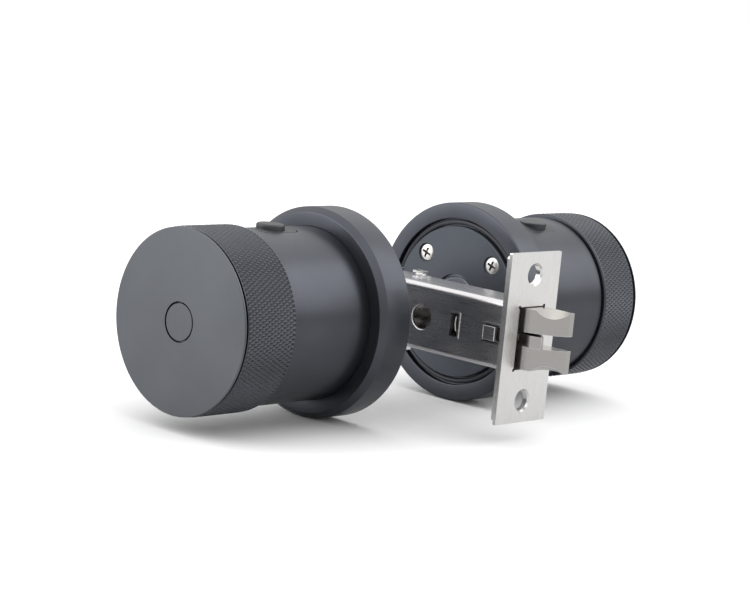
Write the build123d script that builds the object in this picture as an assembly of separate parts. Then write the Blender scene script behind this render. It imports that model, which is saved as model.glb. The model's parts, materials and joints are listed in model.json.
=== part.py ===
from build123d import *

import math
import os

# A knob-style smart lock: an outside knob set, an inside knob set and a latch.
# Origin: the spindle axis at the middle of the door. +Y points into the room,
# +X to the latch's faceplate and +Z up. Millimetres throughout.
# Each knob set is drawn on the +Y side, y being the distance from the middle of the
# door; outside() turns the outside set about Z onto the -Y side.

# Overall sizes
BACKSET = 60.0            # spindle axis to the faceplate's front
DOOR_FACE = 31.3          # middle of the door to a rose's door face, sets drawn apart
ROSE_R = 35.4
SLEEVE_R = 29.0
KNOB_R = 30.4
OUTSIDE_KNOB_LENGTH = 22.5  # knurled ring, groove and face disc together
INSIDE_KNOB_LENGTH = 19.0
ROSE_FRONT = DOOR_FACE + 12.9
OUTSIDE_END = DOOR_FACE + 69.9
INSIDE_END = DOOR_FACE + 68.2

# Rose, mounting plate and seal
ROSE_CHAMFER = 1.8        # radial
ROSE_CHAMFER_LENGTH = 2.1
SEAL_FLOOR = DOOR_FACE + 2.2
SEAL_GROOVE_R = 29.8
PLATE_R = 27.0
PLATE_T = 2.4
PLATE_BACK = DOOR_FACE + PLATE_T
PLATE_BORE_R = 10.0
PLATE_SCREW_X = 15.3
PLATE_SCREW_Z = 15.4
SCREW_HEAD_R = 3.0
SCREW_SUNK = 0.4          # how far a head sits below the plate
BOLT_HOLE_X = 19.0        # through bolts at 38 mm centres
BOSS_HOLE_R = 1.65        # tapping hole for an M4 bolt
BOSS_LENGTH = 8.0

# Sleeve
SLEEVE_IN_R = 27.2
PILLAR_R = 3.2
SLEEVE_GAP = 0.5          # between the sleeve's end and the knurled ring
OUTSIDE_RING_BACK = OUTSIDE_END - OUTSIDE_KNOB_LENGTH
INSIDE_RING_BACK = INSIDE_END - INSIDE_KNOB_LENGTH
OUTSIDE_SLEEVE_END = OUTSIDE_RING_BACK - SLEEVE_GAP
INSIDE_SLEEVE_END = INSIDE_RING_BACK - SLEEVE_GAP
OUTSIDE_WALL = 3.0
INSIDE_WALL = 5.0

# Push button and its pad on each sleeve
BUTTON_R = 4.7
BUTTON_TOP = 30.6         # radius of the button's top above the spindle axis
PAD_WIDTH = 11.8
PAD_LENGTH = 15.6
PAD_CORNER = 2.5
PAD_GAP = 0.5             # across the pad, both sides together
OUTSIDE_BUTTON_Y = 64.3
INSIDE_BUTTON_Y = 62.8
INSIDE_BUTTON_ANGLE = 14.0
INSIDE_BUTTON_LEVEL = 29.1  # height of its level top above the spindle axis
INSIDE_PAD_GAP = 0.16
BOARD_Z = 17.6
BOARD_T = 1.6

# Knob ring, face disc and hub
RING_BORE_R = 26.5
LIP_R = 20.0
LIP_T = 2.5
FACE_DISC_R = 30.1
FACE_DISC_T = 0.6
FACE_GROOVE = 1.0
HUB_DISC_T = 3.0
HUB_SCREW_R = 23.0
SENSOR_R = 6.0
SENSOR_HOLE_R = 6.6

# Outside shaft, clutch and motor
SHAFT_R = 9.5
CLIP_GROOVE = 1.1         # width of a circlip's groove
OUTSIDE_CLIP_Y = 62.3
RUNNING_FIT = 0.05
BUSH_R = 11.2
BOSS_R = 14.0
BOSS_START = 64.0
DOG_Y = 58.0              # root plane of the dog plate's teeth
DOG_HEIGHT = 2.0
DOG_COUNT = 12
DOG_WIDTH_DEG = 12.0
DOG_IN_R = 10.5
CLUTCH_R = 15.0
CLUTCH_GAP = 1.0          # between the tips of the two sets of teeth
MOTOR_Z = -20.6
MOTOR_R = 5.0

# Inside shaft and batteries
INSIDE_SHAFT_R = 7.5
INSIDE_CLIP_Y = INSIDE_SLEEVE_END - INSIDE_WALL - 1.3
INSIDE_BUSH_R = 9.2
CELL_R = 8.5
CELL_LENGTH = 34.5
CELL_X = 18.0
CELL_START = DOOR_FACE + 5.6

# Spindle
SPINDLE = 6.0
SPINDLE_HOLE = 6.3
SPINDLE_OUT = -40.0
SPINDLE_IN = 75.0
SPINDLE_PIN_Y = 55.0

# Latch
FACEPLATE_W = 25.6
FACEPLATE_H = 57.0
PLATE_LAYER = 1.2         # thickness of the faceplate and of its backing plate
CASE_END = BACKSET - 2 * PLATE_LAYER
CASE_START = -24.0
CASE_Y = 7.5              # half the case's thickness
CASE_Z = 11.5             # half the case's height
SHEET = 1.1
CASE_FILLET = 2.0
SCREW_Z = 21.1            # faceplate screw holes above and below the axis
SCREW_HOLE_R = 3.35
COUNTERSINK_R = 3.85
BOLT_Y = 6.0              # half the bolt's width
BOLT_Z = 10.2             # half the bolt's height
BOLT_OUT = 13.2           # how far the bolt stands out of the faceplate
BOLT_BACK = 44.0
BOLT_ROOT_Y = 4.1         # the bolt's outer face where it leaves the faceplate
SCOOP_R = 9.0
SCOOP_DEPTH = 2.2
SCOOP_SLOPE = 18.0        # degrees that the scoop's axis rises towards the flat side
PRONG_GAP_Z = 2.4         # half the slot between the two prongs
PRONG_ROOT = 51.8
OPENING_CLEARANCE = 0.3
RELIEF_R = 0.6
TONGUE_OUT = 7.9
TONGUE_BACK = 59.0
THROUGH_HOLE_R = 4.2
SLOT_X0 = 32.3            # the spring's slot in the near wall
SLOT_X1 = 35.6
SLOT_Z = 3.9
WINDOW_X0 = 46.6          # the window in the near wall, half filled by a pressed tab
WINDOW_X1 = 54.4
WINDOW_Z = 3.0
TAB_END = 51.6
RIM_HEIGHT = 0.3          # raised lip around the slot and the window
HOLE_CHAMFER = 0.25
LUG = 1.0                 # thickness of the cover's folded lugs
SPRING_R = 5.3            # to the middle of the bolt spring's wire
SPRING_WIRE_R = 0.5
FOLLOWER_R = 5.4
ARM_LENGTH = 8.9
NOSE_R = 1.3
HOOK_X = 4.64             # face of the carriage's hook that the follower's nose pushes


def box(x0, x1, y0, y1, z0, z1):
    """A block between two corners."""
    centre = ((x0 + x1) / 2, (y0 + y1) / 2, (z0 + z1) / 2)
    return Pos(*centre) * Box(x1 - x0, y1 - y0, z1 - z0)


def turned(*profile):
    """A solid of revolution about the Y axis from (radius, y) points."""
    return revolve(make_face(Polyline(*profile, close=True)), Axis.Y)


def rod(x, z, y0, y1, radius):
    """A round bar parallel to Y."""
    return Pos(x, (y0 + y1) / 2, z) * Rot(90, 0, 0) * Cylinder(radius, y1 - y0)


def rod_x(x0, x1, radius):
    """A round bar on the X axis."""
    return Pos((x0 + x1) / 2, 0, 0) * Rot(0, 90, 0) * Cylinder(radius, x1 - x0)


def outside(shape):
    """Turn a piece drawn on the +Y side onto the outside of the door."""
    return Rot(0, 0, 180) * shape


def corners():
    """The four screw places on a mounting plate."""
    return [(sx * PLATE_SCREW_X, sz * PLATE_SCREW_Z) for sx in (-1, 1) for sz in (-1, 1)]


def around(count, radius, start=45.0):
    """Evenly spaced (x, z) places on a circle about the spindle axis."""
    places = [Rot(0, start + i * 360.0 / count, 0) * Pos(0, 0, radius) for i in range(count)]
    return [(place.position.X, place.position.Z) for place in places]


# ---------------------------------------------------------------- shared set pieces

def rose():
    bore = SLEEVE_R + RUNNING_FIT
    return turned(
        (bore, SEAL_FLOOR),
        (SEAL_GROOVE_R, SEAL_FLOOR),
        (SEAL_GROOVE_R, DOOR_FACE),
        (ROSE_R - 0.4, DOOR_FACE),
        (ROSE_R, DOOR_FACE + 0.4),
        (ROSE_R, ROSE_FRONT - ROSE_CHAMFER_LENGTH),
        (ROSE_R - ROSE_CHAMFER, ROSE_FRONT),
        (bore, ROSE_FRONT),
    )


def rose_seal():
    low = SEAL_FLOOR - 1.3
    return turned(
        (27.5, SEAL_FLOOR),
        (27.5, low + 0.8),
        (27.8, low + 0.25),
        (28.4, low),
        (29.0, low + 0.25),
        (29.3, low + 0.8),
        (29.3, SEAL_FLOOR),
    )


def mounting_plate():
    plate = turned(
        (PLATE_BORE_R, DOOR_FACE),
        (PLATE_R - 0.3, DOOR_FACE),
        (PLATE_R, DOOR_FACE + 0.3),
        (PLATE_R, PLATE_BACK),
        (PLATE_BORE_R, PLATE_BACK),
    )
    countersink = turned(
        (0, DOOR_FACE - 0.1),
        (SCREW_HEAD_R + 0.45, DOOR_FACE - 0.1),
        (SCREW_HEAD_R + 0.45, DOOR_FACE + SCREW_SUNK + 0.2),
        (1.4, DOOR_FACE + 2.3),
        (1.4, PLATE_BACK + 0.1),
        (0, PLATE_BACK + 0.1),
    )
    for x, z in corners():
        plate -= Pos(x, 0, z) * countersink
    return plate


def bossed_plate():
    """The outside mounting plate, with two threaded bosses for through bolts."""
    plate = mounting_plate()
    for x in (-BOLT_HOLE_X, BOLT_HOLE_X):
        plate += rod(x, 0, PLATE_BACK, PLATE_BACK + BOSS_LENGTH, 3.5)
        plate -= rod(x, 0, DOOR_FACE - 0.1, PLATE_BACK + BOSS_LENGTH + 0.1, BOSS_HOLE_R)
    return plate


def plate_screw():
    """A countersunk cross-recessed screw on the axis, its head facing the door."""
    head = DOOR_FACE + SCREW_SUNK
    screw = turned(
        (0, head - 0.25),
        (1.7, head - 0.18),
        (2.6, head),
        (SCREW_HEAD_R, head + 0.2),
        (1.25, head + 1.8),
        (1.25, DOOR_FACE + 10),
        (0, DOOR_FACE + 10),
    )
    for turn in (20, 110):
        screw -= Rot(0, turn, 0) * box(-1.9, 1.9, head - 0.3, head + 1.0, -0.42, 0.42)
    return screw - Rot(0, 65, 0) * box(-0.75, 0.75, head - 0.3, head + 1.0, -0.75, 0.75)


def plate_screws():
    return Compound([Pos(x, 0, z) * plate_screw() for x, z in corners()])


def prism(width, length, y, corner=PAD_CORNER):
    """An upright rounded-rectangle prism that cuts the top of a sleeve at y."""
    return Pos(0, y, 10) * extrude(RectangleRounded(width, length, corner), amount=25)


def sleeve(end, wall, bore, boss_start, button_y, button_angle, pad_gap):
    shell = turned(
        (SLEEVE_IN_R, SEAL_FLOOR),
        (SLEEVE_R, SEAL_FLOOR),
        (SLEEVE_R, end - 0.3),
        (SLEEVE_R - 0.3, end),
        (bore, end),
        (bore, end - wall),
        (SLEEVE_IN_R, end - wall),
    )
    if boss_start < end - wall:
        shell += turned((bore, boss_start), (BOSS_R, boss_start), (BOSS_R, end - wall), (bore, end - wall))
    for x, z in corners():
        shell += rod(x, z, PLATE_BACK, end - wall, PILLAR_R)
        shell -= rod(x, z, PLATE_BACK - 0.1, DOOR_FACE + 10.5, 1.25)
    opening = prism(PAD_WIDTH + pad_gap, PAD_LENGTH + pad_gap, button_y)
    return shell - Rot(0, button_angle, 0) * opening


def button_pad(y):
    """The insert that carries the push button, flush with the sleeve."""
    low = y - PAD_LENGTH
    high = y + PAD_LENGTH
    skin = turned((SLEEVE_IN_R, low), (SLEEVE_R, low), (SLEEVE_R, high), (SLEEVE_IN_R, high))
    flange = turned((25.7, low), (SLEEVE_IN_R, low), (SLEEVE_IN_R, high), (25.7, high))
    pad = skin & prism(PAD_WIDTH, PAD_LENGTH, y)
    pad += flange & prism(PAD_WIDTH + 3, PAD_LENGTH + 3, y, PAD_CORNER + 1.5)
    return pad - Pos(0, y, 28) * Cylinder(BUTTON_R + 0.15, 10)


def push_button(y, top=BUTTON_TOP):
    cap_bottom = 24.7
    cap = Cylinder(BUTTON_R, top - cap_bottom)
    cap = fillet(cap.edges().group_by(Axis.Z)[-1], 0.8)
    button = Pos(0, y, (top + cap_bottom) / 2) * cap
    return button + Pos(0, y, cap_bottom - 0.35) * Cylinder(5.6, 0.7)


def level_button(y):
    """The inside button: it leans with its pad, but its top is level."""
    level = INSIDE_BUTTON_LEVEL
    button = tilted(push_button(y, BUTTON_TOP + 3)) - box(-20, 40, y - 10, y + 10, level, level + 10)
    return fillet(button.edges().group_by(Axis.Z)[-1], 0.5)


def tact_switch():
    """A push switch standing on a board; its body's foot is at z = 0."""
    body = box(-3, 3, -3, 3, 0, 3.0)
    return body + Pos(0, 0, 3.4) * Cylinder(1.6, 0.8)


def button_switch(y):
    return Pos(0, y, BOARD_Z + BOARD_T) * tact_switch()


def knob_ring(back, end):
    front = end - FACE_DISC_T - FACE_GROOVE
    return turned(
        (LIP_R, back),
        (KNOB_R - 0.45, back),
        (KNOB_R, back + 0.45),
        (KNOB_R, front - 0.3),
        (KNOB_R - 0.3, front),
        (RING_BORE_R, front),
        (RING_BORE_R, back + LIP_T),
        (LIP_R, back + LIP_T),
    )


def face_disc(end):
    back = end - FACE_DISC_T
    plug_r = RING_BORE_R - RUNNING_FIT
    return turned(
        (0, back - 2),
        (plug_r, back - 2),
        (plug_r, back),
        (FACE_DISC_R, back),
        (FACE_DISC_R, end - 0.25),
        (FACE_DISC_R - 0.25, end),
        (0, end),
    )


def hub_screws(back):
    """Four screws that clamp the hub's disc to the ring's lip."""
    seat = back + LIP_T + HUB_DISC_T
    screws = []
    for x, z in around(4, HUB_SCREW_R):
        screw = rod(x, z, back + 0.7, seat, 1.25)
        screw += rod(x, z, seat, seat + 1.6, 2.3)
        screw -= Pos(x, seat + 1.6, z) * Rot(90, 0, 0) * extrude(RegularPolygon(1.1, 6), 0.9, both=True)
        screws.append(screw)
    return Compound(screws)


def cut_hub_screw_holes(shape, back, radius):
    for x, z in around(4, HUB_SCREW_R):
        shape -= rod(x, z, back + 0.6, back + LIP_T + HUB_DISC_T + 0.1, radius)
    return shape


def drilled_ring(back, end):
    return cut_hub_screw_holes(knob_ring(back, end), back, 1.25)


def bush(shaft_r, bush_r, start, end, flange_r):
    bore = shaft_r + RUNNING_FIT
    flange_top = end + SLEEVE_GAP
    return turned(
        (bore, start),
        (bush_r, start),
        (bush_r, end),
        (flange_r, end),
        (flange_r, flange_top),
        (bore, flange_top),
    )


def circlip(inner, outer, groove):
    """A ring with a gap, centred in the shaft groove that starts at y = groove."""
    y0 = groove + 0.1
    y1 = groove + CLIP_GROOVE - 0.1
    ring = turned((inner, y0), (outer, y0), (outer, y1), (inner, y1))
    return ring - box(-1.6, 1.6, y0 - 1, y1 + 1, -outer - 1, 0)


def square_hole(y0, y1, size=SPINDLE_HOLE):
    half = size / 2
    return box(-half, half, y0, y1, -half, half)


# ---------------------------------------------------------------- outside set

def outside_hub():
    back = OUTSIDE_RING_BACK
    disc = back + LIP_T
    hub = turned(
        (7.0, DOG_Y),
        (SHAFT_R, DOG_Y),
        (SHAFT_R, OUTSIDE_CLIP_Y),
        (SHAFT_R - 0.5, OUTSIDE_CLIP_Y),
        (SHAFT_R - 0.5, OUTSIDE_CLIP_Y + CLIP_GROOVE),
        (SHAFT_R, OUTSIDE_CLIP_Y + CLIP_GROOVE),
        (SHAFT_R, back + 0.3),
        (BOSS_R, back + 0.3),
        (BOSS_R, disc),
        (RING_BORE_R - 0.4, disc),
        (RING_BORE_R - 0.4, disc + HUB_DISC_T),
        (3.0, disc + HUB_DISC_T),
        (3.0, 75.0),
        (7.0, 75.0),
    )
    return cut_hub_screw_holes(hub, back, 1.25)


def teeth(root, tip, offset_deg):
    """Face teeth about the Y axis, standing from y = root to y = tip."""
    low = min(root, tip)
    high = max(root, tip)
    ring = turned((DOG_IN_R, low), (CLUTCH_R, low), (CLUTCH_R, high), (DOG_IN_R, high))
    reach = CLUTCH_R + 5
    side = reach * math.tan(math.radians(DOG_WIDTH_DEG))
    wedge = make_face(Polyline((0, 0), (reach, 0), (reach, side), close=True))
    wedge = Pos(0, high + 1, 0) * Rot(90, 0, 0) * extrude(wedge, high - low + 2)
    pitch = 360.0 / DOG_COUNT
    tooth = ring & (Rot(0, DOG_WIDTH_DEG / 2, 0) * wedge)
    return [Rot(0, offset_deg + i * pitch, 0) * tooth for i in range(DOG_COUNT)]


def dog_plate():
    plate = turned((SHAFT_R, DOG_Y), (CLUTCH_R, DOG_Y), (CLUTCH_R, DOG_Y + 3), (SHAFT_R, DOG_Y + 3))
    for tooth in teeth(DOG_Y, DOG_Y - DOG_HEIGHT, 0):
        plate += tooth
    return plate


def clutch_ring():
    face = DOG_Y - 2 * DOG_HEIGHT - CLUTCH_GAP
    back = face - 8.0
    ring = turned(
        (6.7, back),
        (CLUTCH_R, back),
        (CLUTCH_R, back + 2.3),
        (12.3, back + 2.3),
        (12.3, back + 5.7),
        (CLUTCH_R, back + 5.7),
        (CLUTCH_R, face),
        (6.7, face),
    )
    for tooth in teeth(face, face + DOG_HEIGHT, 180.0 / DOG_COUNT):
        ring += tooth
    return ring - box(-8.0, 8.0, back - 1, face + 3, -1.15, 1.15)


def drive_socket():
    socket = turned(
        (0, DOOR_FACE + 1.1),
        (PLATE_BORE_R - RUNNING_FIT, DOOR_FACE + 1.1),
        (PLATE_BORE_R - RUNNING_FIT, PLATE_BACK + 0.3),
        (12.0, PLATE_BACK + 0.3),
        (12.0, PLATE_BACK + 2.3),
        (6.6, PLATE_BACK + 2.3),
        (6.6, 60.0),
        (7.0 - RUNNING_FIT, 60.0),
        (7.0 - RUNNING_FIT, 72.0),
        (0, 72.0),
    )
    socket += box(-7.8, 7.8, 40.0, 56.5, -1.0, 1.0)
    return socket - square_hole(DOOR_FACE, 70.0)


def shift_fork():
    """The plate that slides the clutch ring, carried on the motor's screw."""
    low = DOG_Y - 2 * DOG_HEIGHT - CLUTCH_GAP - 5.4
    high = low + 2.8
    arms = turned((12.5, low), (16.3, low), (16.3, high), (12.5, high))
    arms -= box(-20, 20, low - 1, high + 1, -2.0, 20)
    stem = box(-4, 4, low, high, -25.0, -14.5)
    return arms + stem - rod(0, MOTOR_Z, low - 1, high + 1, 2.15)


def clutch_screw():
    screw = rod(0, MOTOR_Z, 43.0, 58.0, 2.0)
    return screw + rod(0, MOTOR_Z, 58.0, 58.7, 1.0)


def clutch_motor():
    motor = rod(0, MOTOR_Z, 59.0, 72.0, MOTOR_R)
    flats = box(-MOTOR_R, MOTOR_R, 59.0, 72.0, MOTOR_Z - 4.9, MOTOR_Z + 4.9)
    return (motor & flats) + rod(0, MOTOR_Z, 72.0, 73.5, 3.0)


def motor_cradle():
    wall = OUTSIDE_SLEEVE_END - OUTSIDE_WALL
    shell = rod(0, 0, 60, 80, SLEEVE_IN_R - RUNNING_FIT)
    block = box(-7, 7, 66, wall, -SLEEVE_IN_R, -15.8) & shell
    return block - rod(0, MOTOR_Z, 65, 73.5, MOTOR_R + RUNNING_FIT)


def control_board():
    wall = OUTSIDE_SLEEVE_END - OUTSIDE_WALL
    return box(-11.5, 11.5, 40, wall, BOARD_Z, BOARD_Z + BOARD_T)


def board_chips():
    top = BOARD_Z + BOARD_T
    return Compound([
        box(-9, 3, 42, 52, top, top + 1.6),
        box(5, 10, 43, 49, top, top + 1.0),
        box(-8, -2, 54, 58, top, top + 3.0),
        Pos(6.5, 55, top + 1.5) * Cylinder(2.5, 3.0),
    ])


def sensor_board():
    low = OUTSIDE_END - 9.8
    return turned((0, low), (22.0, low), (22.0, low + 1.6), (0, low + 1.6))


def sensor_standoffs():
    hub_top = OUTSIDE_RING_BACK + LIP_T + HUB_DISC_T
    return Compound([rod(x, z, hub_top, OUTSIDE_END - 9.8, 2.0) for x, z in around(3, 17.0, 0)])


def sensor_switch():
    return Pos(0, OUTSIDE_END - 8.2, 0) * Rot(-90, 0, 0) * tact_switch()


def sensor_face_disc():
    disc = face_disc(OUTSIDE_END)
    disc -= rod(0, 0, OUTSIDE_END - 5, OUTSIDE_END + 1, SENSOR_HOLE_R)
    return disc - rod(0, 0, OUTSIDE_END - 5, OUTSIDE_END - 1.5, 8.0)


def fingerprint_button():
    end = OUTSIDE_END
    return turned(
        (0, end - 3.4),
        (1.5, end - 3.4),
        (1.5, end - 2.9),
        (7.6, end - 2.9),
        (7.6, end - 1.8),
        (SENSOR_R, end - 1.8),
        (SENSOR_R, end - 0.15),
        (SENSOR_R - 0.15, end),
        (0, end),
    )


# ---------------------------------------------------------------- inside set

def inside_hub():
    back = INSIDE_RING_BACK
    disc = back + LIP_T
    low = DOOR_FACE + 1.1
    crest = DOOR_FACE + 0.1
    hub = turned(
        (0, crest),
        (8.8, crest),
        (9.2, crest + 0.4),
        (9.2, low),
        (PLATE_BORE_R - RUNNING_FIT, low),
        (PLATE_BORE_R - RUNNING_FIT, PLATE_BACK + 0.3),
        (12.0, PLATE_BACK + 0.3),
        (12.0, PLATE_BACK + 1.5),
        (INSIDE_SHAFT_R, PLATE_BACK + 1.5),
        (INSIDE_SHAFT_R, INSIDE_CLIP_Y),
        (INSIDE_SHAFT_R - 0.5, INSIDE_CLIP_Y),
        (INSIDE_SHAFT_R - 0.5, INSIDE_CLIP_Y + CLIP_GROOVE),
        (INSIDE_SHAFT_R, INSIDE_CLIP_Y + CLIP_GROOVE),
        (INSIDE_SHAFT_R, back + 0.3),
        (13.0, back + 0.3),
        (13.0, disc),
        (RING_BORE_R - 0.4, disc),
        (RING_BORE_R - 0.4, disc + HUB_DISC_T),
        (0, disc + HUB_DISC_T),
    )
    hub -= turned((6.9, crest - 0.1), (7.9, crest - 0.1), (7.9, crest + 0.6), (6.9, crest + 0.6))
    hub -= square_hole(crest - 1, SPINDLE_IN + 1)
    hub -= Pos(0, SPINDLE_PIN_Y, 0) * Rot(0, 90, 0) * Cylinder(1.0, 30)
    return cut_hub_screw_holes(hub, back, 1.25)


def spindle():
    bar = square_hole(SPINDLE_OUT, SPINDLE_IN, SPINDLE)
    bar = chamfer(bar.edges().filter_by(Axis.Y), 0.35)
    return bar - Pos(0, SPINDLE_PIN_Y, 0) * Rot(0, 90, 0) * Cylinder(1.0, 30)


def spindle_pin():
    return Pos(0, SPINDLE_PIN_Y, 0) * Rot(0, 90, 0) * Cylinder(1.0, 2 * INSIDE_SHAFT_R - 0.4)


def battery_tray():
    wall = INSIDE_SLEEVE_END - INSIDE_WALL
    tray = box(-27, 27, CELL_START, wall, -9.6, 9.6) & rod(0, 0, 30, 80, SLEEVE_IN_R - 0.2)
    for x in (-CELL_X, CELL_X):
        tray -= rod(x, 0, CELL_START - 1, wall + 1, CELL_R + 0.1)
    tray -= rod(0, 0, CELL_START - 1, wall + 1, 8.3)
    return tray - rod(0, 0, INSIDE_CLIP_Y - 0.7, wall + 1, 10.0)


def battery_cells():
    cells = []
    for x in (-CELL_X, CELL_X):
        cell = rod(x, 0, CELL_START, CELL_START + CELL_LENGTH - 1.2, CELL_R)
        cell += rod(x, 0, CELL_START + CELL_LENGTH - 1.2, CELL_START + CELL_LENGTH, 3.5)
        cells.append(cell)
    return Compound(cells)


def battery_strip():
    strip = box(-26, 26, CELL_START - 0.7, CELL_START, -9.6, 9.6) & rod(0, 0, 30, 40, 26.4)
    return strip - rod(0, 0, 30, 40, 8.3)


def battery_contacts():
    wall = INSIDE_SLEEVE_END - INSIDE_WALL
    top = CELL_START + CELL_LENGTH
    return Compound([box(x - 4, x + 4, top, wall, -3.5, 3.5) for x in (-CELL_X, CELL_X)])


def inside_board():
    wall = INSIDE_SLEEVE_END - INSIDE_WALL
    return box(-6, 6, 50, wall, BOARD_Z, BOARD_Z + BOARD_T)


def tilted(shape):
    """Turn a piece about the spindle axis to the inside button's angle."""
    return Rot(0, INSIDE_BUTTON_ANGLE, 0) * shape


# ---------------------------------------------------------------- latch

def bolt_opening(x0, x1):
    """The bolt's opening, with round reliefs at its corners."""
    half_y = BOLT_Y + OPENING_CLEARANCE
    half_z = BOLT_Z + OPENING_CLEARANCE
    opening = box(x0, x1, -half_y, half_y, -half_z, half_z)
    for y in (-half_y, half_y):
        for z in (-half_z, half_z):
            relief = Pos((x0 + x1) / 2, y, z) * Rot(0, 90, 0) * Cylinder(RELIEF_R, x1 - x0)
            opening += relief
    return opening


def faceplate():
    front = BACKSET
    back = front - PLATE_LAYER
    plate = box(back, front, -FACEPLATE_W / 2, FACEPLATE_W / 2, -FACEPLATE_H / 2, FACEPLATE_H / 2)
    plate = fillet(plate.edges().filter_by(Axis.X), 0.35)
    plate -= bolt_opening(back - 1, front + 1)
    for z in (-SCREW_Z, SCREW_Z):
        hole = Pos(back - 1 + 2, 0, z) * Rot(0, 90, 0) * Cylinder(SCREW_HOLE_R, 6)
        sink = Pos(front - 0.35, 0, z) * Rot(0, 90, 0) * Cone(SCREW_HOLE_R, COUNTERSINK_R, 0.7)
        plate = plate - hole - sink
    return plate


def backing_plate():
    front = BACKSET - PLATE_LAYER
    back = CASE_END
    plate = box(back, front, -12.3, 12.3, -27.4, 27.4)
    plate = fillet(plate.edges().filter_by(Axis.X), 1.0)
    plate -= bolt_opening(back - 1, front + 1)
    for z in (-SCREW_Z, SCREW_Z):
        plate -= Pos(back, 0, z) * Rot(0, 90, 0) * Cylinder(SCREW_HOLE_R, 6)
    return plate


def latch_case():
    """The folded case: near wall, top and bottom, open towards the inside cover."""
    case = box(CASE_START, CASE_END, -CASE_Y, CASE_Y - SHEET, -CASE_Z, CASE_Z)
    case = fillet(case.edges().filter_by(Axis.X).group_by(Axis.Y)[0], CASE_FILLET)
    inner = box(CASE_START - 1, CASE_END + 1, SHEET - CASE_Y, CASE_Y, SHEET - CASE_Z, CASE_Z - SHEET)
    case -= inner
    case = cut_case_holes(case, -CASE_Y - 1, -CASE_Y + 2)
    for x in (-BOLT_HOLE_X, BOLT_HOLE_X):
        cone = Cone(THROUGH_HOLE_R, THROUGH_HOLE_R + HOLE_CHAMFER, HOLE_CHAMFER)
        case -= Pos(x, HOLE_CHAMFER / 2 - CASE_Y, 0) * Rot(90, 0, 0) * cone
    case += window_rim(SLOT_X0, SLOT_X1, SLOT_Z)
    case += window_rim(WINDOW_X0, WINDOW_X1, WINDOW_Z)
    case = case - window(SLOT_X0, SLOT_X1, SLOT_Z) - window(WINDOW_X0, WINDOW_X1, WINDOW_Z)
    case += window_tab()
    return case + box(8.0, 11.6, -5.6, -2.8, -CASE_Z - 1.4, -CASE_Z + 0.5)


def window(x0, x1, half_z):
    """A rectangular hole through the case's near wall."""
    return box(x0, x1, -CASE_Y - 1, -CASE_Y + 2, -half_z, half_z)


def window_tab():
    """The tab pressed into the window from its back edge, with rounded edges."""
    tab = box(WINDOW_X0 - 0.3, TAB_END, -CASE_Y - 0.1, SHEET - CASE_Y, -2.5, 2.5)
    return fillet(tab.faces().sort_by(Axis.Y)[0].edges(), 0.4)


def window_rim(x0, x1, half_z):
    """The raised lip that punching leaves around a hole in the near wall."""
    lip = 0.6
    block = box(x0 - lip, x1 + lip, -CASE_Y - RIM_HEIGHT, -CASE_Y + 0.2, -half_z - lip, half_z + lip)
    return fillet(block.edges().filter_by(Axis.Y), 0.4)


def cut_case_holes(wall, y0, y1):
    """Follower hole and two through-bolt holes."""
    wall -= rod(0, 0, y0, y1, FOLLOWER_R + 0.08)
    for x in (-BOLT_HOLE_X, BOLT_HOLE_X):
        wall -= rod(x, 0, y0, y1, THROUGH_HOLE_R)
    return wall


def case_cover():
    """The flat cover on the inside, with lugs folded over the case's top and bottom."""
    cover = box(CASE_START, CASE_END, CASE_Y - SHEET, CASE_Y, -CASE_Z, CASE_Z)
    cover = cut_case_holes(cover, CASE_Y - 2, CASE_Y + 1)
    for low in (CASE_Z, -CASE_Z - LUG):
        cover += box(-9.0, -4.0, 4.2, CASE_Y, low, low + LUG)
    cover += box(2.6, 7.2, CASE_Y - SHEET, CASE_Y, CASE_Z - 0.5, CASE_Z + 1.6)
    return cover + box(2.6, 7.2, CASE_Y - 2.8, CASE_Y, CASE_Z + 0.8, CASE_Z + 1.6)


def case_rivets():
    rivets = []
    for z in (-8.4, 8.4):
        rivet = rod(-21.0, z, SHEET - CASE_Y, CASE_Y - SHEET, 1.6)
        rivets.append(rivet)
    return Compound(rivets)


def spring_anchor():
    """The cross bar inside the case that the bolt spring pushes against."""
    half = CASE_Y - SHEET
    return box(24.4, 25.6, -half, half, -5.4, 5.4)


def bolt_side():
    """The bolt's outline seen from above: square on the inside, bevelled outside."""
    tip = BACKSET + BOLT_OUT
    shoulder = CASE_END - 0.7
    bevel_start = (BACKSET + 0.2, -BOLT_ROOT_Y)
    bevel_middle = (67.6, -1.6)
    bevel_end = (tip, 4.2)
    outline = Curve() + [
        Line((BOLT_BACK, -BOLT_Y), (shoulder, -BOLT_Y)),
        Line((shoulder, -BOLT_Y), (shoulder, -BOLT_ROOT_Y)),
        Line((shoulder, -BOLT_ROOT_Y), bevel_start),
        ThreePointArc(bevel_start, bevel_middle, bevel_end),
        Line(bevel_end, (tip, BOLT_Y)),
        Line((tip, BOLT_Y), (BOLT_BACK, BOLT_Y)),
        Line((BOLT_BACK, BOLT_Y), (BOLT_BACK, -BOLT_Y)),
    ]
    return make_face(outline)


def scoop():
    """The hollow in the upper prong's outer edge: a cylinder leaning off the flat side."""
    rise = math.tan(math.radians(SCOOP_SLOPE))
    middle = Vector(69.3, 0, BOLT_Z - SCOOP_DEPTH)
    lean = Vector(-0.54, 0.84, rise).normalized()
    upright = (Vector(0, 0, 1) - lean * lean.Z).normalized()
    return Plane(origin=middle + upright * SCOOP_R, z_dir=lean) * Cylinder(SCOOP_R, 40)


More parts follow.
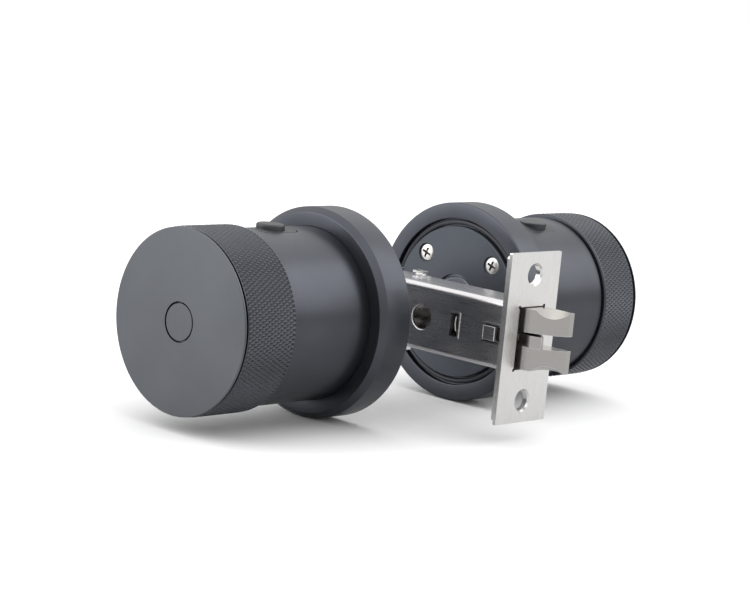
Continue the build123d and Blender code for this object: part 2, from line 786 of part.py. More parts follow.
def latch_bolt():
    bolt = Pos(0, 0, -BOLT_Z) * extrude(bolt_side(), amount=2 * BOLT_Z)
    bolt -= box(PRONG_ROOT, BACKSET + 20, -10, 10, -PRONG_GAP_Z, PRONG_GAP_Z)
    bolt -= scoop()
    bolt -= mirror(scoop(), Plane.XY)
    bolt -= rod_x(BOLT_BACK - 1, PRONG_ROOT + 1, 1.8)
    bolt -= rod_x(46.0, PRONG_ROOT + 1, 2.2)
    return bolt - box(45.5, 51.0, -BOLT_Y - 1, -BOLT_Y + 1, -3.4, 3.4)


def bolt_carriage():
    """The sheet frame that links the follower to the bolt."""
    carriage = box(BOLT_BACK - 1.1, BOLT_BACK, -5.2, 5.2, -9.8, 9.8)
    carriage -= rod_x(BOLT_BACK - 3, BOLT_BACK + 1, 1.9)
    for side in (-1, 1):
        low = min(side * 7.2, side * 9.8)
        hook_low = min(side * 5.8, side * 9.8)
        carriage += box(HOOK_X - 2.0, BOLT_BACK, -5.2, -4.2, low, low + 2.6)
        carriage += box(HOOK_X - 2.0, BOLT_BACK, 4.2, 5.2, low, low + 2.6)
        carriage += box(HOOK_X - 2.0, HOOK_X, -5.2, 5.2, hook_low, hook_low + 4.0)
    return carriage


def deadlatch_tongue():
    tip = BACKSET + TONGUE_OUT
    low = 0.05 - PRONG_GAP_Z
    corners_xy = [
        (TONGUE_BACK, -3.7),
        (60.7, -3.75),
        (64.0, -4.4),
        (tip, -3.1),
        (tip, -2.1),
        (61.2, 4.6),
        (TONGUE_BACK, 4.6),
    ]
    tongue = Pos(0, 0, low) * extrude(make_face(Polyline(*corners_xy, close=True)), amount=4.0)
    return tongue + rod_x(37.0, TONGUE_BACK, 1.5)


def follower():
    """The hub that the spindle turns, with two arms towards the bolt."""
    hub = rod(0, 0, -CASE_Y, CASE_Y, FOLLOWER_R)
    for angle in (45, 135):
        arm = box(-0.7, 0.7, -3.6, 3.6, 0, ARM_LENGTH) + rod(0, ARM_LENGTH, -3.6, 3.6, NOSE_R)
        hub += Rot(0, angle, 0) * arm
    return hub - square_hole(-CASE_Y - 1, CASE_Y + 1)


def coil(x0, x1, radius, wire, turns):
    """A compression spring on the X axis between two faces."""
    length = x1 - x0 - 2 * wire
    helix = Helix(pitch=length / turns, height=length, radius=radius)
    section = Plane(origin=helix @ 0, z_dir=helix % 0) * Circle(wire)
    spring = sweep(section, path=helix)
    return Pos(x0 + wire, 0, 0) * Rot(0, 90, 0) * spring


# ---------------------------------------------------------------- export

def outside_set():
    wall_end = OUTSIDE_SLEEVE_END
    back = OUTSIDE_RING_BACK
    return {
        "outside_rose": rose(),
        "outside_rose_seal": rose_seal(),
        "outside_mounting_plate": bossed_plate(),
        "outside_plate_screws": plate_screws(),
        "outside_sleeve": sleeve(
            wall_end, OUTSIDE_WALL, BUSH_R, BOSS_START, OUTSIDE_BUTTON_Y, 0, PAD_GAP),
        "outside_button_pad": button_pad(OUTSIDE_BUTTON_Y),
        "outside_button": push_button(OUTSIDE_BUTTON_Y),
        "outside_button_switch": button_switch(OUTSIDE_BUTTON_Y),
        "outside_shaft_bush": bush(SHAFT_R, BUSH_R, BOSS_START, wall_end, BOSS_R),
        "outside_circlip": circlip(SHAFT_R - 0.5, 12.0, OUTSIDE_CLIP_Y),
        "outside_knob_ring": drilled_ring(back, OUTSIDE_END),
        "outside_face_disc": sensor_face_disc(),
        "outside_knob_hub": outside_hub(),
        "outside_hub_screws": hub_screws(back),
        "fingerprint_button": fingerprint_button(),
        "sensor_board": sensor_board(),
        "sensor_standoffs": sensor_standoffs(),
        "sensor_switch": sensor_switch(),
        "dog_plate": dog_plate(),
        "clutch_ring": clutch_ring(),
        "drive_socket": drive_socket(),
        "shift_fork": shift_fork(),
        "clutch_screw": clutch_screw(),
        "clutch_motor": clutch_motor(),
        "motor_cradle": motor_cradle(),
        "control_board": control_board(),
        "board_chips": board_chips(),
    }


def inside_set():
    wall_end = INSIDE_SLEEVE_END
    back = INSIDE_RING_BACK
    button_y = INSIDE_BUTTON_Y
    return {
        "inside_rose": rose(),
        "inside_rose_seal": rose_seal(),
        "inside_mounting_plate": mounting_plate(),
        "inside_plate_screws": plate_screws(),
        "inside_sleeve": sleeve(
            wall_end, INSIDE_WALL, INSIDE_BUSH_R, wall_end, button_y, INSIDE_BUTTON_ANGLE, INSIDE_PAD_GAP),
        "inside_button_pad": tilted(button_pad(button_y)),
        "inside_button": level_button(button_y),
        "inside_button_switch": tilted(button_switch(button_y)),
        "inside_board": tilted(inside_board()),
        "inside_shaft_bush": bush(
            INSIDE_SHAFT_R, INSIDE_BUSH_R, wall_end - INSIDE_WALL, wall_end, 12.5),
        "inside_circlip": circlip(INSIDE_SHAFT_R - 0.5, 9.3, INSIDE_CLIP_Y),
        "inside_knob_ring": drilled_ring(back, INSIDE_END),
        "inside_end_disc": face_disc(INSIDE_END),
        "inside_knob_hub": inside_hub(),
        "inside_hub_screws": hub_screws(back),
        "spindle": spindle(),
        "spindle_pin": spindle_pin(),
        "battery_tray": battery_tray(),
        "battery_cells": battery_cells(),
        "battery_strip": battery_strip(),
        "battery_contacts": battery_contacts(),
    }


def latch():
    return {
        "faceplate": faceplate(),
        "backing_plate": backing_plate(),
        "latch_case": latch_case(),
        "case_cover": case_cover(),
        "case_rivets": case_rivets(),
        "spring_anchor": spring_anchor(),
        "latch_bolt": latch_bolt(),
        "bolt_carriage": bolt_carriage(),
        "deadlatch_tongue": deadlatch_tongue(),
        "latch_follower": follower(),
        "bolt_spring": coil(25.6, BOLT_BACK - 1.1, SPRING_R, SPRING_WIRE_R, 7),
        "tongue_spring": coil(46.0, TONGUE_BACK, 1.85, 0.2, 9),
    }


os.makedirs("parts", exist_ok=True)
for name, shape in outside_set().items():
    export_step(outside(shape), f"parts/{name}.step")
for name, shape in inside_set().items():
    export_step(shape, f"parts/{name}.step")
for name, shape in latch().items():
    export_step(shape, f"parts/{name}.step")
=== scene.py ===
import json
import math

import bmesh
import bpy
from mathutils import Matrix, Vector

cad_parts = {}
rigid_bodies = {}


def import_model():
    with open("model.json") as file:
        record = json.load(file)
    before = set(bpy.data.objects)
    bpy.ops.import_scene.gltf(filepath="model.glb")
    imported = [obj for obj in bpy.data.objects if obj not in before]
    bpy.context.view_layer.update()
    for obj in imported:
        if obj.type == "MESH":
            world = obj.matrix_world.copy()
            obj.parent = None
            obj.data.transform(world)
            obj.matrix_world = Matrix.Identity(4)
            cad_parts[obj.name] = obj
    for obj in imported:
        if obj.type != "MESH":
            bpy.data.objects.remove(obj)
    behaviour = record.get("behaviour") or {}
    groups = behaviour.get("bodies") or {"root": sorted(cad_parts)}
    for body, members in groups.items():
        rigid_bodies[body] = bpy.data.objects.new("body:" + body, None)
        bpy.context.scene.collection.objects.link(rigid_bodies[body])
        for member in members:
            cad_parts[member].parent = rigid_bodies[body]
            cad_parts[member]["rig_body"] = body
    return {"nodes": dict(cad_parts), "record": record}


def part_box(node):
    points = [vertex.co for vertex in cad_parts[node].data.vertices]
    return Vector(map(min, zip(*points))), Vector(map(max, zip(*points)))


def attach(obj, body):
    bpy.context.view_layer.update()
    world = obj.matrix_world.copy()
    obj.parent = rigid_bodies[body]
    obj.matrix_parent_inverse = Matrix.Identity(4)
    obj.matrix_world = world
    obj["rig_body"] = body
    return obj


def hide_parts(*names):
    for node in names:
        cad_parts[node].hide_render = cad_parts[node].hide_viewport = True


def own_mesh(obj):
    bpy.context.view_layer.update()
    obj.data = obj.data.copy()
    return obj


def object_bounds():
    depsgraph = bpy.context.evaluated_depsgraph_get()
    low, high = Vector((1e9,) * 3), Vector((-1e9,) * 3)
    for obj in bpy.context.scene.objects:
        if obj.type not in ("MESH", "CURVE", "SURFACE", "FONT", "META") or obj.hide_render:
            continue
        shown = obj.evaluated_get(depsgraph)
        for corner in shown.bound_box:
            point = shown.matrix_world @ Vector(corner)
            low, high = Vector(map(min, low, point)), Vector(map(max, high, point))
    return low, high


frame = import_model()
NODES = frame["nodes"]


def plain(bounds):
    return [[float(v) for v in corner] for corner in bounds]


cad_box = plain(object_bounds())

MM = 0.001
KNURLS = 124              # diamonds around a knob
KNURL_LENGTH = 2.67 * MM  # one diamond along the knob, for grooves at 30 degrees
KNURL_DEPTH = 0.42 * MM
KNURL_STEPS = 3           # mesh steps in half a diamond
SEGMENTS = 2 * KNURLS * KNURL_STEPS
SCREW_R = 3.0 * MM        # head of a mounting-plate screw

# The camera, fitted to the object's outlines
CAMERA_PLACE = (0.5264, -0.5935, 0.1234)
CAMERA_AZIMUTH = 42.08
CAMERA_ELEVATION = 8.74
CAMERA_ROLL = 5.51
CAMERA_LENS = 111.2

# The studio
FLOOR_HALF = 6.0
FLOOR_DROP = 0.0002       # below the object's lowest point
FLOOR_SEEN = (0.96, 0.96, 0.96, 1)
FLOOR_LIT = (0.62, 0.62, 0.63, 1)
CEILING_LIGHT = 1.5
HORIZON_LIGHT = 0.55


# ------------------------------------------------------------------ material helpers

class Shader:
    """Builds one procedural material around a Principled BSDF."""

    def __init__(self, name, **constants):
        self.material = bpy.data.materials.new(name)
        self.material.use_nodes = True
        self.tree = self.material.node_tree
        self.bsdf = self.tree.nodes["Principled BSDF"]
        for key, value in constants.items():
            self.bsdf.inputs[key.replace("_", " ")].default_value = value
        self.place = self.node("ShaderNodeTexCoord").outputs["Object"]

    def node(self, kind, **settings):
        made = self.tree.nodes.new(kind)
        for key, value in settings.items():
            setattr(made, key, value)
        return made

    def link(self, source, target):
        self.tree.links.new(source, target)

    def fill(self, socket, value):
        if isinstance(value, bpy.types.NodeSocket):
            self.link(value, socket)
        else:
            socket.default_value = value

    def math(self, operation, a, b=0.0, clamp=False):
        made = self.node("ShaderNodeMath", operation=operation, use_clamp=clamp)
        self.fill(made.inputs[0], a)
        self.fill(made.inputs[1], b)
        return made.outputs[0]

    def scaled(self, factors):
        """The place on the piece with each axis scaled, in cycles per metre."""
        made = self.node("ShaderNodeMapping")
        self.link(self.place, made.inputs["Vector"])
        made.inputs["Scale"].default_value = factors
        return made.outputs[0]

    def noise(self, factors, detail=3.0, roughness=0.55):
        made = self.node("ShaderNodeTexNoise")
        self.link(self.scaled(factors), made.inputs["Vector"])
        made.inputs["Scale"].default_value = 1.0
        made.inputs["Detail"].default_value = detail
        made.inputs["Roughness"].default_value = roughness
        return made.outputs["Fac"]

    def turning(self, pitch, axis="XZ"):
        """Fine concentric marks, as a lathe leaves them on a face about the Y axis."""
        split = self.node("ShaderNodeSeparateXYZ")
        self.link(self.place, split.inputs[0])
        x, z = split.outputs[axis[0]], split.outputs[axis[1]]
        radius = self.math("SQRT", self.math("ADD", self.math("MULTIPLY", x, x), self.math("MULTIPLY", z, z)))
        join = self.node("ShaderNodeCombineXYZ")
        self.link(radius, join.inputs[0])
        self.link(split.outputs["Y"], join.inputs[1])
        made = self.node("ShaderNodeTexNoise")
        self.link(join.outputs[0], made.inputs["Vector"])
        made.inputs["Scale"].default_value = 1.0 / pitch
        made.inputs["Detail"].default_value = 2.0
        return made.outputs["Fac"]

    def ramp(self, factor, *stops):
        made = self.node("ShaderNodeValToRGB")
        self.link(factor, made.inputs[0])
        elements = made.color_ramp.elements
        while len(elements) < len(stops):
            elements.new(0.5)
        for element, (position, colour) in zip(elements, stops):
            element.position = position
            element.color = colour if len(colour) == 4 else (*colour, 1.0)
        return made.outputs[0]

    def mix(self, factor, a, b):
        made = self.node("ShaderNodeMix", data_type="RGBA")
        self.fill(made.inputs[0], factor)
        self.fill(made.inputs[6], a if isinstance(a, bpy.types.NodeSocket) else (*a, 1.0))
        self.fill(made.inputs[7], b if isinstance(b, bpy.types.NodeSocket) else (*b, 1.0))
        return made.outputs[2]

    def span(self, factor, low, high):
        made = self.node("ShaderNodeMapRange")
        self.link(factor, made.inputs[0])
        made.inputs["To Min"].default_value = low
        made.inputs["To Max"].default_value = high
        return made.outputs[0]

    def edges(self, width):
        """1 along sharp edges, 0 on faces."""
        # The materials use this mask for paler edges: partly wear, partly a painted edge highlight.
        bevel = self.node("ShaderNodeBevel", samples=6)
        bevel.inputs["Radius"].default_value = width
        geometry = self.node("ShaderNodeNewGeometry")
        dot = self.node("ShaderNodeVectorMath", operation="DOT_PRODUCT")
        self.link(bevel.outputs[0], dot.inputs[0])
        self.link(geometry.outputs["Normal"], dot.inputs[1])
        away = self.math("SUBTRACT", 1.0, dot.outputs["Value"])
        return self.math("MULTIPLY", away, 4.0, clamp=True)

    def bump(self, height, distance, strength=1.0):
        made = self.node("ShaderNodeBump")
        made.inputs["Distance"].default_value = distance
        made.inputs["Strength"].default_value = strength
        self.link(height, made.inputs["Height"])
        self.link(made.outputs[0], self.bsdf.inputs["Normal"])

    def colour(self, value):
        self.fill(self.bsdf.inputs["Base Color"], value)

    def rough(self, value):
        self.fill(self.bsdf.inputs["Roughness"], value)


def anodised(name, dark, light, roughness):
    """Bead-blasted, black-anodised aluminium with paler edges, partly wear and partly a painted edge
    highlight.
    """
    s = Shader(name, Metallic=0.9)
    blast = s.noise((2600, 2600, 2600), 4.0, 0.7)
    cloud = s.noise((38, 38, 38), 3.0)
    body = s.mix(s.ramp(cloud, (0.3, (0, 0, 0)), (0.7, (1, 1, 1))), dark, light)
    body = s.mix(s.math("MULTIPLY", blast, 0.35), body, tuple(v * 1.3 for v in light))
    # paler edges: partly wear, partly a painted highlight along the edges
    s.colour(s.mix(s.math("MULTIPLY", s.edges(0.25 * MM), 0.45), body, (0.34, 0.35, 0.37)))
    s.rough(s.span(blast, roughness - 0.05, roughness + 0.07))
    s.bump(blast, 0.006 * MM)
    return s.material


def brushed(name, base, along, roughness, depth=0.004 * MM, edge_wear_and_highlight=0.35):
    """Stainless steel brushed along one axis, with small scratches and edges lightened partly as wear, partly
    as a painted highlight.
    """
    s = Shader(name, Metallic=1.0)
    across = 5200
    scale = [across, across, across]
    scale["XYZ".index(along)] = 90
    grain = s.noise(tuple(scale), 5.0, 0.6)
    cloud = s.noise((70, 70, 70), 3.0)
    scratch_scale = [1500, 1500, 1500]
    scratch_scale["XYZ".index(along)] = 260
    scratch = s.ramp(s.noise(tuple(scratch_scale), 1.0), (0.66, (0, 0, 0)), (0.72, (1, 1, 1)))
    dark = tuple(v * 0.84 for v in base)
    body = s.mix(s.ramp(grain, (0.3, (0, 0, 0)), (0.7, (1, 1, 1))), dark, base)
    body = s.mix(s.math("MULTIPLY", scratch, 0.1), body, tuple(v * 0.7 for v in base))
    body = s.mix(s.math("MULTIPLY", cloud, 0.16), body, tuple(v * 0.8 for v in base))
    # paler edges: partly wear, partly a painted edge highlight
    s.colour(s.mix(s.math("MULTIPLY", s.edges(0.2 * MM), edge_wear_and_highlight), body, (0.92, 0.92, 0.91)))
    s.rough(s.span(grain, roughness - 0.06, roughness + 0.09))
    s.bump(grain, depth)
    return s.material


def cast(name, base, roughness):
    """Investment-cast stainless, tumbled: a soft grain, with edges lightened partly as polish wear and partly
    as a painted highlight.
    """
    s = Shader(name, Metallic=1.0)
    grain = s.noise((1900, 1900, 1900), 5.0, 0.65)
    lines = s.noise((500, 3800, 3800), 3.0)
    cloud = s.noise((160, 160, 160), 3.0)
    body = s.mix(grain, tuple(v * 0.78 for v in base), base)
    body = s.mix(s.math("MULTIPLY", cloud, 0.3), body, tuple(v * 0.8 for v in base))
    # bright edges: partly polish wear, partly a painted edge highlight
    s.colour(s.mix(s.math("MULTIPLY", s.edges(0.3 * MM), 0.8), body, (0.90, 0.89, 0.87)))
    s.rough(s.span(s.math("MULTIPLY", s.math("ADD", grain, lines), 0.5), roughness - 0.07, roughness + 0.08))
    s.bump(s.math("ADD", grain, s.math("MULTIPLY", lines, 0.6)), 0.008 * MM)
    return s.material


def turned_metal(name, base, roughness, metallic=1.0):
    """Machined metal with lathe marks about the spindle."""
    s = Shader(name, Metallic=metallic)
    marks = s.turning(0.12 * MM)
    grain = s.noise((1500, 1500, 1500), 3.0)
    body = s.mix(marks, tuple(v * 0.75 for v in base), base)
    # paler edges: partly wear, partly a painted edge highlight
    s.colour(s.mix(s.math("MULTIPLY", s.edges(0.2 * MM), 0.4), body, tuple(min(1.0, v * 1.35) for v in base)))
    s.rough(s.span(s.math("MULTIPLY", s.math("ADD", marks, grain), 0.5), roughness - 0.06, roughness + 0.08))
    s.bump(marks, 0.004 * MM)
    return s.material


def plated(name, base, roughness):
    """Bright plated steel with a faint orange-peel surface and dull spots."""
    s = Shader(name, Metallic=1.0)
    peel = s.noise((900, 900, 900), 3.0)
    spots = s.ramp(s.noise((300, 300, 300), 4.0), (0.52, (0, 0, 0)), (0.66, (1, 1, 1)))
    body = s.mix(s.math("MULTIPLY", spots, 0.1), base, tuple(v * 0.62 for v in base))
    # paler edges: partly wear, partly a painted edge highlight
    s.colour(s.mix(s.math("MULTIPLY", s.edges(0.15 * MM), 0.4), body, (0.93, 0.92, 0.9)))
    s.rough(s.span(spots, roughness, roughness + 0.12))
    s.bump(peel, 0.004 * MM)
    return s.material


def screw_steel(name, node):
    """Bright plated screws whose cross recesses are painted dark as shade."""
    s = Shader(name, Metallic=1.0)
    low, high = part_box(node)
    top = min(abs(low.y), abs(high.y))
    split = s.node("ShaderNodeSeparateXYZ")
    s.link(s.place, split.inputs[0])
    x = s.math("SUBTRACT", s.math("ABSOLUTE", split.outputs["X"]), high.x - SCREW_R)
    z = s.math("SUBTRACT", s.math("ABSOLUTE", split.outputs["Z"]), high.z - SCREW_R)
    radius = s.math("SQRT", s.math("ADD", s.math("MULTIPLY", x, x), s.math("MULTIPLY", z, z)))
    depth = s.math("SUBTRACT", s.math("ABSOLUTE", split.outputs["Y"]), top)
    deep = s.math("GREATER_THAN", depth, 0.3 * MM)
    # painted shade: the cross recess is darkened where shade falls in it
    painted_recess_shade = s.math("MULTIPLY", deep, s.math("LESS_THAN", radius, 2.3 * MM))
    peel = s.noise((900, 900, 900), 3.0)
    body = s.mix(s.math("MULTIPLY", peel, 0.15), (0.88, 0.87, 0.84), (0.7, 0.69, 0.66))
    s.colour(s.mix(painted_recess_shade, body, (0.2, 0.185, 0.16)))
    s.rough(s.span(peel, 0.28, 0.4))
    s.bump(peel, 0.003 * MM)
    return s.material


def moulded(name, dark, light, roughness, pitch=0.5):
    """Moulded plastic or rubber with a fine texture and edges paled partly by wear, partly as a painted
    highlight.
    """
    s = Shader(name, Metallic=0.0)
    texture = s.noise((1000 / pitch, 1000 / pitch, 1000 / pitch), 3.0)
    cloud = s.noise((120, 120, 120), 2.0)
    body = s.mix(cloud, dark, light)
    # paler edges: partly wear, partly a painted edge highlight
    worn_and_highlit_edge = tuple(min(1.0, 2.2 * v + 0.02) for v in light)
    s.colour(s.mix(s.math("MULTIPLY", s.edges(0.2 * MM), 0.3), body, worn_and_highlit_edge))
    s.rough(s.span(texture, roughness - 0.06, roughness + 0.08))
    s.bump(texture, 0.01 * MM)
    return s.material


def coated(name, dark, light, roughness):
    """Satin powder coat with a slight orange peel."""
    s = Shader(name, Metallic=0.6)
    peel = s.noise((1300, 1300, 1300), 4.0, 0.6)
    cloud = s.noise((60, 60, 60), 2.0)
    body = s.mix(cloud, dark, light)
    # paler edges: partly wear, partly a painted edge highlight
    s.colour(s.mix(s.math("MULTIPLY", s.edges(0.2 * MM), 0.4), body, (0.3, 0.31, 0.33)))
    s.rough(s.span(peel, roughness - 0.05, roughness + 0.08))
    s.bump(peel, 0.012 * MM)
    return s.material


def circuit(name):
    """Green solder mask with copper tracks showing through it and tinned pads."""
    s = Shader(name, Metallic=0.0, Coat_Weight=0.3)
    brick = s.node("ShaderNodeTexBrick", offset=0.5)
    s.link(s.scaled((520, 520, 520)), brick.inputs["Vector"])
    brick.inputs["Scale"].default_value = 1.0
    brick.inputs["Mortar Size"].default_value = 0.06
    tracks = brick.outputs["Fac"]
    vias = s.node("ShaderNodeTexVoronoi")
    s.link(s.scaled((620, 620, 620)), vias.inputs["Vector"])
    vias.inputs["Scale"].default_value = 1.0
    dots = s.ramp(vias.outputs["Distance"], (0.1, (1, 1, 1)), (0.14, (0, 0, 0)))
    weave = s.noise((900, 900, 900), 2.0)
    mask = s.mix(weave, (0.012, 0.075, 0.035), (0.02, 0.11, 0.05))
    mask = s.mix(s.math("MULTIPLY", tracks, 0.8), mask, (0.05, 0.21, 0.09))
    s.colour(s.mix(dots, mask, (0.62, 0.6, 0.52)))
    s.rough(s.span(tracks, 0.34, 0.46))
    s.bump(tracks, 0.02 * MM)
    return s.material


def wrapped(name):
    """Shrink-wrapped battery cell: a printed sleeve with a plain band at one end."""
    s = Shader(name, Metallic=0.0, Coat_Weight=0.5)
    split = s.node("ShaderNodeSeparateXYZ")
    s.link(s.place, split.inputs[0])
    low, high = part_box("battery_cells")
    along = s.math("DIVIDE", s.math("SUBTRACT", split.outputs["Y"], low.y), high.y - low.y)
    wrinkle = s.noise((260, 40, 260), 3.0)
    body = s.ramp(along, (0.0, (0.45, 0.44, 0.42)), (0.03, (0.03, 0.07, 0.22)), (0.74, (0.04, 0.09, 0.27)),
                  (0.76, (0.6, 0.42, 0.14)), (0.96, (0.55, 0.38, 0.12)), (0.97, (0.5, 0.49, 0.47)))
    s.colour(s.mix(s.math("MULTIPLY", wrinkle, 0.2), body, (0.02, 0.03, 0.07)))
    s.rough(s.span(wrinkle, 0.22, 0.36))
    s.bump(wrinkle, 0.05 * MM)
    return s.material


MATERIALS = {
    "black_anodised": anodised("black_anodised", (0.060, 0.063, 0.073), (0.077, 0.082, 0.095), 0.31),
    # black_face is a lighter copy of black_anodised: partly its own rougher finish, partly painted light for
    # the knob faces lit from the front
    "black_face": anodised("black_face", (0.098, 0.104, 0.113), (0.117, 0.124, 0.134), 0.38),
    "black_plate": coated("black_plate", (0.060, 0.067, 0.080), (0.078, 0.087, 0.104), 0.36),
    "stainless": brushed("stainless", (0.85, 0.84, 0.82), "Z", 0.27),
    "stainless_cast": cast("stainless_cast", (0.47, 0.455, 0.432), 0.24),
    "stainless_bright": brushed("stainless_bright", (0.715, 0.70, 0.705), "X", 0.27, 0.0015 * MM, 0.3),
    "zinc": turned_metal("zinc", (0.50, 0.51, 0.53), 0.34),
    "dark_hub": turned_metal("dark_hub", (0.20, 0.212, 0.24), 0.34),
    "steel_zinc": plated("steel_zinc", (0.86, 0.85, 0.82), 0.3),
    "spring_steel": plated("spring_steel", (0.66, 0.65, 0.64), 0.22),
    "bronze": turned_metal("bronze", (0.55, 0.36, 0.17), 0.38),
    "black_rubber": moulded("black_rubber", (0.040, 0.042, 0.052), (0.052, 0.054, 0.065), 0.5),
    "black_plastic": moulded("black_plastic", (0.030, 0.031, 0.035), (0.042, 0.043, 0.048), 0.42, 0.35),
    "board_green": circuit("board_green"),
    "chip_black": moulded("chip_black", (0.014, 0.014, 0.015), (0.022, 0.022, 0.024), 0.5, 0.25),
    "cell_wrap": wrapped("cell_wrap"),
    "nickel": turned_metal("nickel", (0.70, 0.66, 0.58), 0.26),
}

SLOT_OF = {part["node"]: part["material_slot"] for part in frame["record"]["subparts"]}
for name, node in NODES.items():
    node.data.materials.clear()
    node.data.materials.append(MATERIALS[SLOT_OF[name]])
for prefix in ("outside", "inside"):
    name = prefix + "_plate_screws"
    NODES[name].data.materials[0] = screw_steel(prefix + "_screw_steel", name)


# ------------------------------------------------------------------ turned pieces

def fillet_profile(points, steps=5):
    """Rounds the corners of a closed (radius, y, fillet) profile."""
    smooth = []
    count = len(points)
    for i in range(count):
        corner = Vector(points[i][:2])
        radius = points[i][2]
        if radius <= 0:
            smooth.append(corner)
            continue
        before = (Vector(points[i - 1][:2]) - corner).normalized()
        after = (Vector(points[(i + 1) % count][:2]) - corner).normalized()
        half = before.angle(after) / 2
        reach = radius / math.tan(half)
        middle = corner + (before + after).normalized() * (radius / math.sin(half))
        start = corner + before * reach - middle
        end = corner + after * reach - middle
        for k in range(steps + 1):
            arm = start.lerp(end, k / steps).normalized() * radius
            smooth.append(middle + arm)
    return smooth


def lathe(name, rings, segments=SEGMENTS, split=None):
    """A closed ring-shaped mesh from rings of (radius or function of the segment, y).
    split(j, i) says how the quad after ring j and segment i is cut: 0 not, 1 or 2 along a diagonal."""
    mesh = bpy.data.meshes.new(name)
    verts = []
    faces = []
    for radius, y in rings:
        for i in range(segments):
            angle = 2 * math.pi * i / segments
            r = radius(i) if callable(radius) else radius
            verts.append((r * math.cos(angle), y, r * math.sin(angle)))
    total = len(rings)
    for j in range(total):
        k = (j + 1) % total
        for i in range(segments):
            n = (i + 1) % segments
            a, b, c, d = j * segments + i, j * segments + n, k * segments + n, k * segments + i
            cut = split(j, i) if split else 0
            if cut == 0:
                faces.append((a, b, c, d))
            elif cut == 1:
                faces += [(a, b, c), (a, c, d)]
            else:
                faces += [(a, b, d), (b, c, d)]
    mesh.from_pydata(verts, [], faces)
    work = bmesh.new()
    work.from_mesh(mesh)
    bmesh.ops.recalc_face_normals(work, faces=work.faces)
    work.to_mesh(mesh)
    work.free()
    piece = bpy.data.objects.new(name, mesh)
    bpy.context.scene.collection.objects.link(piece)
    return piece


def stand_for(piece, node, smooth_angle=35):
    piece.data.materials.append(MATERIALS[SLOT_OF[node]])
    piece.data.shade_smooth()
    piece.data.set_sharp_from_angle(angle=math.radians(smooth_angle))
    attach(piece, NODES[node]["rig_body"])
    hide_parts(node)


def knurl_height(a, b):
    """Height of the diamond knurl, 0 to 1, at a and b half diamonds around and along."""
    fa, fb = a % 1.0, b % 1.0
    even = (math.floor(a) + math.floor(b)) % 2 == 0
    slope = abs(fa - fb) if even else abs(1 - fa - fb)
    return min(1.0, slope * 1.22)


def knurled_ring(prefix, side):
    """The knob's ring: a 30 degree diamond knurl of real pyramids between two plain edges."""
    node = prefix + "_knob_ring"
    low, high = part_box(node)
    back, front = (low.y, high.y) if side > 0 else (-high.y, -low.y)
    outer = high.x
    start, end = back + 0.72 * MM, front - 0.4 * MM
    step = KNURL_LENGTH / 2 / KNURL_STEPS
    count = round((end - start) / step)
    floor = outer - KNURL_DEPTH

    def row(j):
        return lambda i: floor + KNURL_DEPTH * knurl_height(i / KNURL_STEPS, j / KNURL_STEPS)

    rings = [(row(j), side * (start + (end - start) * j / count)) for j in range(count + 1)]
    bore, lip, lip_t = 26.5 * MM, 20.0 * MM, 2.5 * MM
    rest = [
        (floor + 0.05 * MM, front - 0.36 * MM),
        (floor + 0.02 * MM, front - 0.14 * MM),
        (floor - 0.14 * MM, front),
        (bore, front),
        (bore, back + lip_t),
        (lip, back + lip_t),
        (lip, back),
        (outer - 0.62 * MM, back),
        (outer - 0.16 * MM, back + 0.4 * MM),
        (outer - 0.12 * MM, back + 0.66 * MM),
    ]
    rings += [(radius, side * y) for radius, y in rest]

    def split(j, i):
        if j >= count:
            return 0
        even = (i // KNURL_STEPS + j // KNURL_STEPS) % 2 == 0
        return 1 if even else 2

    piece = lathe(prefix + "_knurled_ring", rings, split=split)
    stand_for(piece, node, 12)
    return piece


def rounded_rose(prefix, side):
    node = prefix + "_rose"
    low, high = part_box(node)
    door, front = (low.y, high.y) if side > 0 else (-high.y, -low.y)
    outer = high.x
    profile = [
        (29.0 * MM, door + 2.2 * MM, 0),
        (29.8 * MM, door + 2.2 * MM, 0.15 * MM),
        (29.8 * MM, door, 0.25 * MM),
        (outer, door, 0.5 * MM),
        (outer, front - 2.1 * MM, 0.35 * MM),
        (outer - 1.8 * MM, front, 0.35 * MM),
        (29.05 * MM, front, 0.12 * MM),
    ]
    rings = [(p.x, side * p.y) for p in fillet_profile(profile)]
    piece = lathe(prefix + "_rounded_rose", rings, segments=360)
    stand_for(piece, node)
    return piece


def pressed_spring(node):
    """A copy of a latch spring's mesh that stands in its place and rides on its body."""
    cad = NODES[node]
    piece = bpy.data.objects.new(node + "_coil", cad.data.copy())
    piece.matrix_world = cad.matrix_world
    bpy.context.scene.collection.objects.link(piece)
    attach(piece, cad["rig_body"])
    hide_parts(node)
    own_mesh(piece)
    return piece


pressed_spring("bolt_spring")
pressed_spring("tongue_spring")
knurled_ring("outside", -1)
knurled_ring("inside", 1)
rounded_rose("outside", -1)
rounded_rose("inside", 1)


# ------------------------------------------------------------------ stage

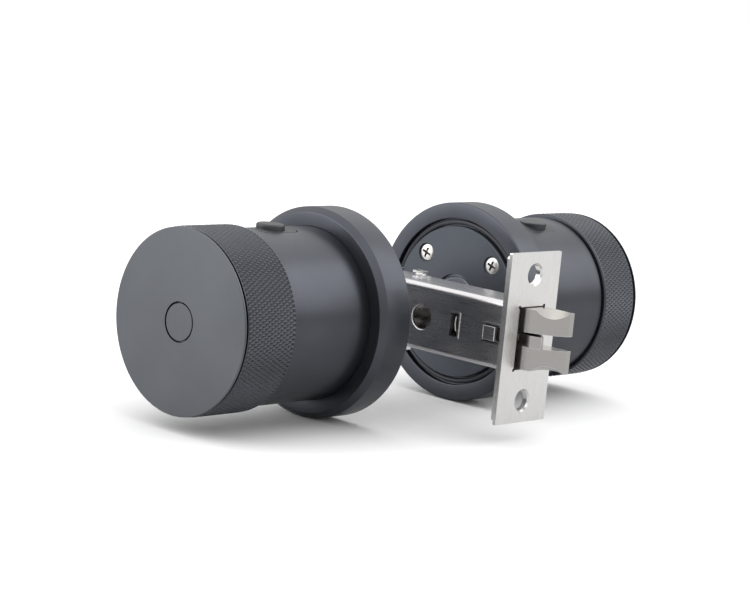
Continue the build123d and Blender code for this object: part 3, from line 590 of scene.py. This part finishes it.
def pale_floor():
    mesh = bpy.data.meshes.new("floor")
    level = cad_box[0][2] - FLOOR_DROP
    corners = [(x * FLOOR_HALF, y * FLOOR_HALF, level) for x, y in ((-1, -1), (1, -1), (1, 1), (-1, 1))]
    mesh.from_pydata(corners, [], [(0, 1, 2, 3)])
    floor = bpy.data.objects.new("floor", mesh)
    bpy.context.scene.collection.objects.link(floor)
    material = bpy.data.materials.new("floor")
    material.use_nodes = True
    nodes, links = material.node_tree.nodes, material.node_tree.links
    bsdf = nodes["Principled BSDF"]
    bsdf.inputs["Roughness"].default_value = 1.0
    bsdf.inputs["Specular IOR Level"].default_value = 0.0
    path = nodes.new("ShaderNodeLightPath")
    mix = nodes.new("ShaderNodeMix")
    mix.data_type = "RGBA"
    mix.inputs[6].default_value = FLOOR_LIT
    mix.inputs[7].default_value = FLOOR_SEEN
    links.new(path.outputs["Is Camera Ray"], mix.inputs[0])
    links.new(mix.outputs[2], bsdf.inputs["Base Color"])
    floor.data.materials.append(material)
    return floor


def area_light(name, place, target, size, power, colour=(1, 1, 1)):
    data = bpy.data.lights.new(name, "AREA")
    data.shape = "RECTANGLE"
    data.size, data.size_y = size
    data.energy = power
    data.color = colour
    light = bpy.data.objects.new(name, data)
    light.location = place
    light.rotation_euler = (Vector(target) - Vector(place)).to_track_quat("-Z", "Y").to_euler()
    bpy.context.scene.collection.objects.link(light)
    return light


def studio():
    world = bpy.data.worlds.new("studio")
    bpy.context.scene.world = world
    world.use_nodes = True
    tree = world.node_tree
    background = tree.nodes["Background"]
    # Plain white to the camera; as light it is a soft ceiling that fades towards the horizon.
    place = tree.nodes.new("ShaderNodeTexCoord")
    split = tree.nodes.new("ShaderNodeSeparateXYZ")
    tree.links.new(place.outputs["Generated"], split.inputs[0])
    wall = tree.nodes.new("ShaderNodeMapRange")
    wall.interpolation_type = "SMOOTHSTEP"
    wall.inputs["From Min"].default_value = 0.05
    wall.inputs["From Max"].default_value = 0.85
    wall.inputs["To Min"].default_value = HORIZON_LIGHT
    wall.inputs["To Max"].default_value = CEILING_LIGHT
    tree.links.new(split.outputs["Z"], wall.inputs[0])
    path = tree.nodes.new("ShaderNodeLightPath")
    pick = tree.nodes.new("ShaderNodeMix")
    tree.links.new(path.outputs["Is Camera Ray"], pick.inputs[0])
    tree.links.new(wall.outputs[0], pick.inputs[2])
    pick.inputs[3].default_value = 1.0
    tree.links.new(pick.outputs[0], background.inputs["Strength"])
    background.inputs["Color"].default_value = (1.0, 1.0, 1.0, 1)
    area_light("key", (0.62, 0.85, 0.62), (0, -0.03, 0), (0.9, 0.9), 3)
    area_light("front", (-0.9, -1.3, 0.28), (0, 0, 0), (1.2, 1.2), 14)


def camera():
    azimuth, elevation, roll = map(math.radians, (CAMERA_AZIMUTH, CAMERA_ELEVATION, CAMERA_ROLL))
    back = Vector((
        math.sin(azimuth) * math.cos(elevation),
        -math.cos(azimuth) * math.cos(elevation),
        math.sin(elevation),
    ))
    right = Vector((math.cos(azimuth), math.sin(azimuth), 0))
    up = back.cross(right)
    level = math.cos(roll) * right + math.sin(roll) * up
    tilted = math.cos(roll) * up - math.sin(roll) * right
    data = bpy.data.cameras.new("camera")
    data.sensor_width = 36.0
    data.lens = CAMERA_LENS
    data.clip_start = 0.01
    made = bpy.data.objects.new("camera", data)
    made.matrix_world = Matrix.Translation(CAMERA_PLACE) @ Matrix((
        (level.x, tilted.x, back.x, 0),
        (level.y, tilted.y, back.y, 0),
        (level.z, tilted.z, back.z, 0),
        (0, 0, 0, 1),
    ))
    bpy.context.scene.collection.objects.link(made)
    bpy.context.scene.camera = made


pale_floor()
studio()
camera()
bpy.context.scene.view_settings.view_transform = "Standard"
